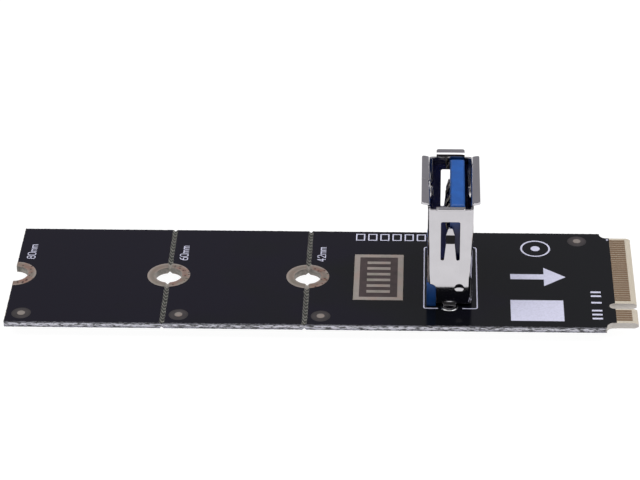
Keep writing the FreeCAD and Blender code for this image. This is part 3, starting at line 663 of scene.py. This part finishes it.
def field_finish(name, colour, middles=()):
    """Thin coat with slight patches, darker away from the middles of its discs."""
    disc_fade = (0.4 * MM, 0.95 * MM)
    finish = Finish(name, Roughness=0.35)
    tone = finish.mottle(finish.cloud(1.2), colour, 0.75, 1.25)
    if middles:
        fade = finish.rise(finish.reach(middles), *disc_fade)
        shade = finish.shades(fade, (
            (0.0, (1.0, 1.0, 1.0)), (0.55, (0.85, 0.85, 0.85)), (1.0, (0.25, 0.25, 0.28)),
        ))
        tone = finish.shaded(tone, shade)
    finish.colour(tone)
    finish.bumps(finish.cloud(0.2), 0.004, 0.4)
    return finish.material


def laminate_finish(settings):
    """Woven glass laminate: cream faces, rope-like grooves, frayed edges and tan walls at the rings."""
    groove_fade = (0.47 * MM, 0.03 * MM)
    ring_fade = (2.79 * MM, 0.01 * MM)
    finish = Finish("laminate", Roughness=0.55)
    level = finish.level()
    streaks = finish.cloud((0.65, 0.3, 0.13), detail=4.0, roughness=0.6)
    colour = finish.blend(finish.rise(level, 0.5, 0.3), laminate_sides(finish, settings, streaks),
                          laminate_faces(finish, settings))

    middles = ring_middles()
    away = finish.beside(finish.split(finish.place)[0], [x for x, _ in middles[1:]])
    band = finish.both(finish.drop(away, *groove_fade), finish.rise(level, 0.3, 0.2))
    yarn = finish.mottle(finish.rope((1.59, 1.15)), settings.groove_floor, 0.05, 1.0, 0.6, 0.9)
    colour = finish.blend(band, colour, yarn)

    tan = finish.mottle(finish.cloud((0.7, 0.7, 0.5)), settings.ring_wall, 0.5, 1.0, 0.35, 0.62)
    finish.colour(finish.blend(finish.drop(finish.reach(middles), *ring_fade), colour, tan))
    finish.bumps(streaks, 0.05, 0.6)
    return finish.material


def laminate_sides(finish, settings, streaks):
    """Broken fibres on the long edges, dark along the mask, and smooth routed sides on the plug edge."""
    plug_fade = 0.25 * MM
    shares = ((0.38, 0.09), (0.46, 0.24), (0.50, 0.85), (0.56, 1.0))
    fibres = finish.shades(streaks, [(place, tinted(settings.fibre, share)) for place, share in shares])
    x, _, z = finish.split(finish.place)
    shade = finish.shades(finish.rise(z, BOARD_LOW.z, BOARD_HIGH.z - BOARD_LOW.z), (
        (0.0, (0.3, 0.3, 0.33)), (0.2, (0.55, 0.55, 0.6)), (0.38, (1.0, 1.0, 1.0)),
        (0.7, (0.95, 0.95, 0.97)), (0.86, (0.16, 0.16, 0.18)),
    ))
    routed = finish.mottle(streaks, settings.routed, 0.85, 1.0, 0.3, 0.6)
    plug = finish.rise(x, BOARD_HIGH.x - settings.plug_length - plug_fade, plug_fade)
    return finish.blend(plug, finish.shaded(fibres, shade), routed)


def laminate_faces(finish, settings):
    """Faint weave, dark at the long edges and plain on the bevel of the plug edge."""
    rim = 0.15 * MM
    rim_fade = 0.03 * MM
    bevel_fade = 0.05 * MM
    x, y, _ = finish.split(finish.place)
    weave = finish.both(finish.specks(0.5, 0.25), finish.cloud((0.12, 0.6, 0.3)))
    face = finish.mottle(weave, settings.laminate, 0.9, 1.1, 0.1, 0.5)
    at_rim = finish.rise(finish.size(y), BOARD_HIGH.y - rim, rim_fade)
    face = finish.blend(at_rim, face, paint(settings.fibre, 0.12))
    at_bevel = finish.rise(x, BOARD_HIGH.x - settings.bevel, bevel_fade)
    return finish.blend(at_bevel, face, paint(settings.laminate, 1.08))


def ink_finish(settings):
    """Flat white ink with a faint grain."""
    finish = Finish("print_ink", Roughness=0.55)
    grain = finish.cloud(0.25)
    finish.colour(finish.mottle(grain, settings.white, 0.86, 1.0, 0.3, 0.6))
    finish.bumps(grain, 0.004, 0.5)
    return finish.material


def copper_finish(name, colour, settings):
    """Dull plated copper with faint patches; screw rings have a worn track and stains on one side."""
    track = (1.75 * MM, 1.25 * MM)
    ring_fade = (2.7 * MM, 0.1 * MM)
    finish = Finish(name, Metallic=0.55)
    red, green, blue = colour
    base = finish.shades(finish.cloud(1.6), (
        (0.3, (red * 0.82, green * 0.88, blue * 0.82)), (0.5, colour),
        (0.7, (red * 1.05, green * 0.93, blue * 0.88)),
    ))
    reach = finish.reach(ring_middles())
    worn = finish.shades(finish.rise(reach, *track), (
        (0.0, (0.85, 0.84, 0.82)), (0.25, (0.62, 0.60, 0.57)), (0.5, (0.68, 0.65, 0.61)),
        (0.7, (0.9, 0.89, 0.87)), (0.9, (1.0, 1.0, 1.0)),
    ))
    base = finish.shaded(base, worn)
    ringed = finish.drop(reach, *ring_fade)
    plug_side = ring_plug_sides(finish)
    stained = finish.both(plug_side, finish.spread(finish.cloud(1.0), 0.0, 0.5, 0.45, 0.6))
    base = finish.blend(finish.both(stained, ringed), base, paint(settings.stain))
    specks = finish.both(finish.drop(finish.specks(0.5), 0.22, 0.1), ringed)
    spotted = finish.both(specks, finish.spread(plug_side, 0.1, 0.9))
    finish.colour(finish.blend(spotted, base, paint(settings.speck)))
    finish.rough(finish.cloud(0.4), 0.34, 0.56)
    finish.bumps(finish.cloud(0.15), 0.004, 0.5)
    return finish.material


def ring_plug_sides(finish):
    """1 on the plug side of each screw ring, and 0 elsewhere."""
    start = -0.6 * MM
    start_fade = 1.6 * MM
    end = 3.0 * MM
    end_fade = 0.1 * MM
    x = finish.split(finish.place)[0]
    sides = 0.0
    for middle, _ in ring_places():
        before = finish.drop(x, middle + end, end_fade)
        side = finish.both(finish.rise(x, middle + start, start_fade), before)
        sides = finish.math("ADD", side, sides)
    return sides


def metal_finish(name, colour, tones, patches, grain, roughness, relief=None, metallic=1.0):
    """Plated metal with patches in its tones, gloss that follows its grain, and relief of the patches."""
    finish = Finish(name, Metallic=metallic)
    spots = finish.cloud(patches)
    finish.colour(finish.mottle(spots, colour, *tones))
    finish.rough(finish.cloud(grain), *roughness)
    if relief:
        finish.bumps(spots, *relief)
    return finish.material


def gold_finish(settings):
    """Gold plate with faint insertion streaks along the plug."""
    streaks = (1.8, 0.06, 0.06)
    return metal_finish("plug_gold", settings.gold, tones=(0.82, 1.12), patches=streaks, grain=streaks,
                        roughness=(0.28, 0.46), relief=(0.002, 0.4), metallic=0.8)


def steel_finish(settings):
    """Bright nickel-plated sheet with a faint rolling grain."""
    return metal_finish("shell_steel", settings.steel, tones=(0.93, 1.0), patches=2.4,
                        grain=(0.05, 0.05, 1.6), roughness=(0.05, 0.11))


def contact_finish(settings):
    """Gold flash with a faint grain along the contacts."""
    return metal_finish("contact_metal", settings.contact, tones=(0.88, 1.0), patches=(0.8, 0.8, 1.6),
                        grain=(0.08, 0.08, 0.9), roughness=(0.16, 0.34))


def solder_finish(settings):
    """Bright solder with slight ripples."""
    return metal_finish("solder", settings.solder, tones=(0.85, 1.0), patches=0.5, grain=0.2,
                        roughness=(0.12, 0.3), relief=(0.03, 0.5))


def plastic_finish(name, colour, roughness, grain_size, depth=None):
    """Moulded plastic; depth is a painted shade, its darker colour where little light reaches: deep in the
    mouth and in the block below it.
    """
    finish = Finish(name, Specular_IOR_Level=0.4)
    tone = finish.mottle(finish.cloud(2.0), colour, 0.85, 1.15)
    if depth:
        # Painted shade: the moulding turns to the depth colour deep in the mouth and in the block behind
        # the windows
        tone = finish.blend(painted_socket_shade(finish), tone, paint(depth))
    finish.colour(tone)
    grain = finish.cloud(grain_size)
    finish.rough(grain, roughness - 0.06, roughness + 0.06)
    finish.bumps(grain, 0.003, 0.4)
    return finish.material


def painted_socket_shade(finish):
    """1 where shade is painted, deep in the socket's mouth and in the block behind the windows' feet, and
    0 elsewhere.
    """
    width_fade = (2.5 * MM, 0.06 * MM)
    length_fade = (5.7 * MM, 0.1 * MM)
    dark_fade = (11.0 * MM, 3.5 * MM)
    block_foot = (4.2 * MM, 0.2 * MM)
    block_top = (6.85 * MM, 0.15 * MM)
    x, y, z = finish.split(finish.place)
    across = finish.beside(x, [(SHELL_LOW.x + SHELL_HIGH.x) / 2])
    inside = finish.both(finish.drop(across, *width_fade), finish.drop(finish.size(y), *length_fade))
    low = finish.drop(z, *dark_fade)
    block = finish.both(finish.rise(z, *block_foot), finish.drop(z, *block_top))
    return finish.math("MAXIMUM", finish.both(inside, low), block)


# Board


class RISER_OT_board(Operator):
    """Gives the board its laminate finish"""

    bl_idname = "riser.board"
    bl_label = "Board"

    def execute(self, context):
        dress(["circuit_board"], laminate_finish(context.scene.riser_board))
        return {"FINISHED"}


class RISER_OT_mask(Operator):
    """Lays the solder mask on both faces of the board, open where copper and laminate are bare"""

    bl_idname = "riser.mask"
    bl_label = "Solder mask"
    disc_sides = 48

    def execute(self, context):
        settings = context.scene.riser_board
        finish = mask_finish(settings)
        top = BOARD_HIGH.z
        coated = top + settings.coat
        marks = islands("placing_marks")
        middles = [tuple((low + high).xy / 2) for low, high in marks]
        radius = (marks[0][1].x - marks[0][0].x) / 2 + settings.mark_gap
        discs = [circle(middle, radius, self.disc_sides) for middle in middles]
        mark_field = field_finish("mark_field", settings.mark_field, middles)
        self.add("mark_fields", discs, top, top + settings.coat / 2, mark_field)
        gap = Vector((settings.ring_gap, settings.ring_gap))
        opening = rectangle(PANEL_LOW.xy - gap, PANEL_HIGH.xy + gap)
        upper = MaskOutlines(settings, settings.top_seed).panels()
        self.add("mask_top", [*upper, *discs, opening], top, coated, finish)
        lower = MaskOutlines(settings, settings.bottom_seed).panels()
        self.add("mask_bottom", lower, -settings.coat, 0.0, finish)
        panel_field = field_finish("panel_field", settings.field)
        self.add("panel_field", [rectangle(PANEL_LOW, PANEL_HIGH)], top, coated, panel_field)
        return {"FINISHED"}

    def add(self, name, outlines, low, high, finish):
        add_piece(name, plate(name, outlines, low, high), finish)


class RISER_OT_copper(Operator):
    """Finishes the rings, the placing marks, the copper panel and the plug contacts"""

    bl_idname = "riser.copper"
    bl_label = "Copper"
    dull = 0.75

    def execute(self, context):
        settings = context.scene.riser_board
        dress([*RINGS, "copper_panel"], copper_finish("bare_copper", settings.copper, settings))
        dull = tinted(settings.copper, self.dull)
        dress(["placing_marks"], copper_finish("dull_copper", dull, settings))
        dress(["plug_contacts_top", "plug_contacts_bottom"], gold_finish(settings))
        return {"FINISHED"}


class RISER_OT_print(Operator):
    """Prints the socket's outline, the length marks and the plain marks on the mask"""

    bl_idname = "riser.print"
    bl_label = "Printed marks"
    # Places and sizes in millimetres
    outline_sides = {"left": (-27.06, -25.2), "right": (-20.15, -22.1)}
    outline_ends = (-7.16, 7.35)
    outline_round = 0.35
    outline_steps = 6
    outline_line = 0.144
    length_place = (2.12, 3.65)
    letter_line = 0.104
    letter_gap = 0.24
    ring = (-12.5, 7.2)
    ring_radii = (1.95, 1.72)
    ring_sides = 60
    dot_radius = 0.6
    dot_sides = 36
    arrow = [(-15.9, -0.15), (-11.6, -0.15), (-11.6, -1.7), (-8.8, 0.45), (-11.6, 2.6), (-11.6, 1.05),
             (-15.9, 1.05)]
    block = rectangle((-16.0, -9.7), (-9.3, -5.0))
    first_box = (Vector((-36.0, 8.8)), Vector((-34.8, 10.4)))
    box_step = 1.6
    box_count = 6
    box_line = 0.16
    tick_ends = (-5.75, -4.45)
    tick_width = 0.35
    ticks = (-9.2, -8.3, -7.4, -5.6, -4.1, -3.2)
    corner = (-3.0, 9.5)
    corner_radius = 0.14
    corner_sides = 24

    def execute(self, context):
        settings = context.scene.riser_board
        self.finish = ink_finish(settings)
        self.low = BOARD_HIGH.z + settings.coat
        self.high = self.low + settings.ink
        self.socket_outline()
        self.length_marks(settings.letter * HUNDREDTH)
        self.plain_marks()
        return {"FINISHED"}

    def add(self, name, outlines):
        """Prints outlines that are given in millimetres."""
        scaled = [[(x * MM, y * MM) for x, y in outline] for outline in outlines]
        add_piece(name, plate(name, scaled, self.low, self.high), self.finish)

    def socket_outline(self):
        """Line round the socket, broken beside the legs; each half has its side and its end."""
        for name, (side, end) in self.outline_sides.items():
            way = math.copysign(1.0, end - side)
            half = [(side + way * across, y) for across, y in self.bracket(abs(end - side))]
            self.add(f"print_socket_{name}", [half])

    def bracket(self, reach):
        """Half of the outline, from its side towards the break."""
        near, far = self.outline_ends
        line = self.outline_line
        outer = self.outline_round
        inner = outer - line
        first = (outer, near + outer)
        second = (outer, far - outer)
        steps = self.outline_steps
        outside = arc(first, outer, 270.0, 180.0, steps) + arc(second, outer, 180.0, 90.0, steps)
        inside = arc(second, inner, 90.0, 180.0, steps) + arc(first, inner, 180.0, 270.0, steps)
        return [(reach, near), *outside, (reach, far), (reach, far - line), *inside, (reach, near + line)]

    def length_marks(self, unit):
        """Card length beside each screw hole, reading away from the near edge."""
        across, along = self.length_place
        for (middle, _), size in zip(ring_places(), RINGS.values()):
            foot = middle + across * MM
            start = along * MM
            lines = []
            for letter in f"{size}mm":
                for line in LETTERS[letter]:
                    lines.append([(foot - up * unit, start + run * unit) for run, up in line])
                width = max(run for line in LETTERS[letter] for run, _ in line)
                start += width * unit + self.letter_gap * MM
            name = f"print_length_{size}"
            mesh = strokes(name, lines, self.letter_line * MM, self.low, self.high)
            add_piece(name, mesh, self.finish)

    def plain_marks(self):
        """Ring with a dot, arrow to the plug edge, block to write on, check boxes, ticks, corner dot."""
        self.add("print_ring", [circle(self.ring, radius, self.ring_sides) for radius in self.ring_radii])
        self.add("print_ring_dot", [circle(self.ring, self.dot_radius, self.dot_sides)])
        self.add("print_arrow", [self.arrow])
        self.add("print_block", [self.block])
        self.add("print_boxes", self.boxes())
        start, end = self.tick_ends
        width = self.tick_width
        self.add("print_ticks", [rectangle((start, low), (end, low + width)) for low in self.ticks])
        self.add("print_corner_dot", [circle(self.corner, self.corner_radius, self.corner_sides)])

    def boxes(self):
        """Outer and inner edge of each check box."""
        low, high = self.first_box
        outlines = []
        for index in range(self.box_count):
            across = Vector((index * self.box_step, 0.0))
            for inset in (0.0, self.box_line):
                edge = Vector((inset, inset))
                outlines.append(rectangle(low + across + edge, high + across - edge))
        return outlines


# Socket


class RISER_OT_shell(Operator):
    """Rounds and plates the folded shell"""

    bl_idname = "riser.shell"
    bl_label = "Socket shell"
    sheet = 0.3 * MM
    slack = 0.02 * MM
    cut_turn = math.radians(60.0)
    flare_low = SHELL_HIGH.z - 0.5 * MM
    seam_reach = MM
    window_top = 13.35 * MM
    window_slack = 0.05 * MM
    outside = 6.55 * MM
    dimple = Vector(((SHELL_LOW.x + SHELL_HIGH.x) / 2 + 1.2 * MM, 3.6 * MM))
    dimple_rim = 0.62 * MM
    dimple_inside = 0.6 * MM
    dimple_depth = 0.25 * MM

    def execute(self, context):
        settings = context.scene.riser_socket
        mesh = softened("socket_shell", settings.steel_edge, (
            (settings.flare_corner, lambda side: self.through(side) and self.at_flare_end(side)),
            (settings.window_corner, lambda side: self.through(side) and self.near_window_top(side)),
        ), self.round_dimple)
        self.ease_dimples(mesh)
        finish = steel_finish(settings)
        even_shading(add_piece("plated_shell", mesh, finish, ("socket_shell",)))
        return {"FINISHED"}

    def through(self, side):
        """True for an edge that runs through the sheet."""
        if len(side.link_faces) != 2 or abs(side.calc_length() - self.sheet) >= self.slack:
            return False
        return side.calc_face_angle() > self.cut_turn

    def at_flare_end(self, side):
        """True at a flare's tip, but not beside the seam."""
        places = [corner.co for corner in side.verts]
        return all(place.z > self.flare_low and abs(place.y) > self.seam_reach for place in places)

    def near_window_top(self, side):
        return all(abs(corner.co.z - self.window_top) < self.window_slack for corner in side.verts)

    def round_dimple(self, side):
        """True for the sharp edges of a dimple."""
        near = all((corner.co.xz - self.dimple).length < self.dimple_rim for corner in side.verts)
        return near and is_sharp(side)

    def ease_dimples(self, mesh):
        """Draws the floors of the two dimples out to shallower bowls."""
        for vertex in mesh.vertices:
            within = (vertex.co.xz - self.dimple).length < self.dimple_inside
            if within and abs(vertex.co.y) > self.outside - self.dimple_depth:
                face = math.copysign(self.outside, vertex.co.y)
                vertex.co.y = (vertex.co.y + face) / 2


class RISER_OT_moulding(Operator):
    """Finishes the blue moulding and the black plate below it"""

    bl_idname = "riser.moulding"
    bl_label = "Socket mouldings"

    def execute(self, context):
        settings = context.scene.riser_socket
        mesh = softened("socket_insulator", settings.moulded_edge)
        # The blue moulding carries a painted shade deep in the mouth and behind the windows
        blue = plastic_finish("blue_moulding", settings.blue, roughness=0.32, grain_size=0.12,
                              depth=settings.blue_painted_shade)
        even_shading(add_piece("blue_insulator", mesh, blue, ("socket_insulator",)))
        black = plastic_finish("black_moulding", settings.black, roughness=0.5, grain_size=0.1)
        dress(["tail_guide"], black)
        return {"FINISHED"}


class RISER_OT_contacts(Operator):
    """Rounds and plates the nine contacts"""

    bl_idname = "riser.contacts"
    bl_label = "Contacts"

    def execute(self, context):
        settings = context.scene.riser_socket
        finish = contact_finish(settings)
        for name in CONTACTS:
            mesh = softened(name, settings.contact_edge)
            even_shading(add_piece(f"plated_{name}", mesh, finish, (name,)))
        return {"FINISHED"}


class RISER_OT_solder(Operator):
    """Draws the solder up the tails and legs in hollow cones"""

    bl_idname = "riser.solder"
    bl_label = "Solder joints"
    tip_share = 0.45
    hollow = 2.2
    steps = 10
    # Radius and height above the board of the rim at a leg, in millimetres
    rim = ((1.13, 0.0), (1.12, 0.05), (1.08, 0.09), (1.03, 0.1), (0.97, 0.08), (0.88, 0.04), (0.5, 0.02))

    def execute(self, context):
        settings = context.scene.riser_socket
        finish = solder_finish(settings)
        for node in ("signal_solder_joints", "shell_solder_joints"):
            solid = bmesh.new()
            for low, high in islands(node):
                self.joint(solid, low, high, settings.bead_sides)
            mesh = filled(bpy.data.meshes.new(node), solid)
            add_piece(node.replace("joints", "beads"), mesh, finish, (node,))
        return {"FINISHED"}

    def joint(self, solid, low, high, sides):
        """Cone with a hollow flank below the board, and a rim round a shallow dish above it at a leg."""
        middle = (low + high) / 2
        foot = (high.y - low.y) / 2
        tip = foot * self.tip_share
        shares = [step / self.steps for step in range(self.steps + 1)]
        flank = [(tip + (foot - tip) * share ** self.hollow, low.z * (1.0 - share)) for share in shares]
        turned(solid, flank, middle, sides)
        if high.z > BOARD_HIGH.z + WELD:
            rim = [(radius * MM, BOARD_HIGH.z + rise * MM) for radius, rise in self.rim]
            turned(solid, rim, middle, sides)


# Stage


class RISER_OT_stage(Operator):
    """Sets the floor, the lamps and the camera"""

    bl_idname = "riser.stage"
    bl_label = "Studio"

    def execute(self, context):
        settings = context.scene.riser_stage
        scene = context.scene
        scene.view_settings.view_transform = "Standard"
        self.floor(scene, settings)
        self.lamps(scene, settings)
        self.room(scene, settings)
        self.camera(scene, settings)
        return {"FINISHED"}

    def floor(self, scene, settings):
        side = settings.floor_side
        height = CAD_BOX[0][2]
        corners = [(x, y, height) for x, y in rectangle((-side, -side), (side, settings.floor_back))]
        mesh = bpy.data.meshes.new("floor")
        mesh.from_pydata(corners, [], [(0, 1, 2, 3)])
        finish = Finish("floor", Roughness=0.6, Emission_Color=paint((1.0, 1.0, 1.0)),
                        Emission_Strength=settings.floor_glow)
        finish.colour(finish.mottle(finish.cloud(40.0), settings.floor, 0.99))
        mesh.materials.append(finish.material)
        floor = bpy.data.objects.new("floor", mesh)
        scene.collection.objects.link(floor)

    def lamps(self, scene, settings):
        """One lamp overhead and one at each end."""
        places = {
            "overhead_lamp": (settings.lamp_power, (0.0, 0.0, settings.lamp_height)),
            "left_lamp": (settings.side_power, (-settings.side_reach, 0.0, settings.side_height)),
            "right_lamp": (settings.side_power, (settings.side_reach, 0.0, settings.side_height)),
        }
        middle = Vector(((CAD_BOX[0][0] + CAD_BOX[1][0]) / 2, 0.0, 0.0))
        for name, (power, place) in places.items():
            light = bpy.data.lights.new(name, "AREA")
            light.size = settings.lamp_side
            light.energy = power
            lamp = bpy.data.objects.new(name, light)
            lamp.location = middle + Vector(place)
            lamp.rotation_euler = Vector(place).to_track_quat("Z", "Y").to_euler()
            scene.collection.objects.link(lamp)

    def room(self, scene, settings):
        """Dim room, lighter behind the card than behind the camera."""
        scene.world = bpy.data.worlds.new("room")
        scene.world.use_nodes = True
        nodes = Nodes(scene.world.node_tree)
        place = nodes.add("ShaderNodeTexCoord").outputs["Generated"]
        depth = nodes.rise(nodes.split(place)[1], -1.0, 2.0)
        light = nodes.shades(depth, ((0.45, settings.dark_side), (0.62, settings.back_wall)))
        nodes.feed(nodes.tree.nodes["Background"], "Color", light)

    def camera(self, scene, settings):
        lens = bpy.data.cameras.new("camera")
        lens.lens = settings.lens
        lens.clip_start = 0.01
        lens.clip_end = 10.0
        camera = bpy.data.objects.new("camera", lens)
        camera.location = settings.camera_place
        camera.rotation_euler = Euler(settings.camera_turn, "XYZ")
        scene.collection.objects.link(camera)
        scene.camera = camera


OPERATORS = (
    RISER_OT_board, RISER_OT_mask, RISER_OT_copper, RISER_OT_print, RISER_OT_shell, RISER_OT_moulding,
    RISER_OT_contacts, RISER_OT_solder, RISER_OT_stage,
)
SETTINGS = {"riser_board": RISER_PG_board, "riser_socket": RISER_PG_socket, "riser_stage": RISER_PG_stage}


class RISER_PT_card(Panel):
    """Lists the steps that dress the card, and their settings"""

    bl_idname = "RISER_PT_card"
    bl_label = "Riser card"
    bl_space_type = "VIEW_3D"
    bl_region_type = "UI"
    bl_category = "Riser card"

    def draw(self, context):
        for operator in OPERATORS:
            self.layout.operator(operator.bl_idname)
        for group, settings in SETTINGS.items():
            column = self.layout.column()
            for name in settings.__annotations__:
                column.prop(getattr(context.scene, group), name)


def register():
    for group, settings in SETTINGS.items():
        bpy.utils.register_class(settings)
        setattr(bpy.types.Scene, group, PointerProperty(type=settings))
    for operator in OPERATORS:
        bpy.utils.register_class(operator)
    bpy.utils.register_class(RISER_PT_card)


def unregister():
    bpy.utils.unregister_class(RISER_PT_card)
    for operator in reversed(OPERATORS):
        bpy.utils.unregister_class(operator)
    for group, settings in reversed(SETTINGS.items()):
        delattr(bpy.types.Scene, group)
        bpy.utils.unregister_class(settings)


def main():
    register()
    bpy.ops.riser.board()
    bpy.ops.riser.mask()
    bpy.ops.riser.copper()
    bpy.ops.riser.print()
    bpy.ops.riser.shell()
    bpy.ops.riser.moulding()
    bpy.ops.riser.contacts()
    bpy.ops.riser.solder()
    bpy.ops.riser.stage()


if __name__ == "__main__":
    main()
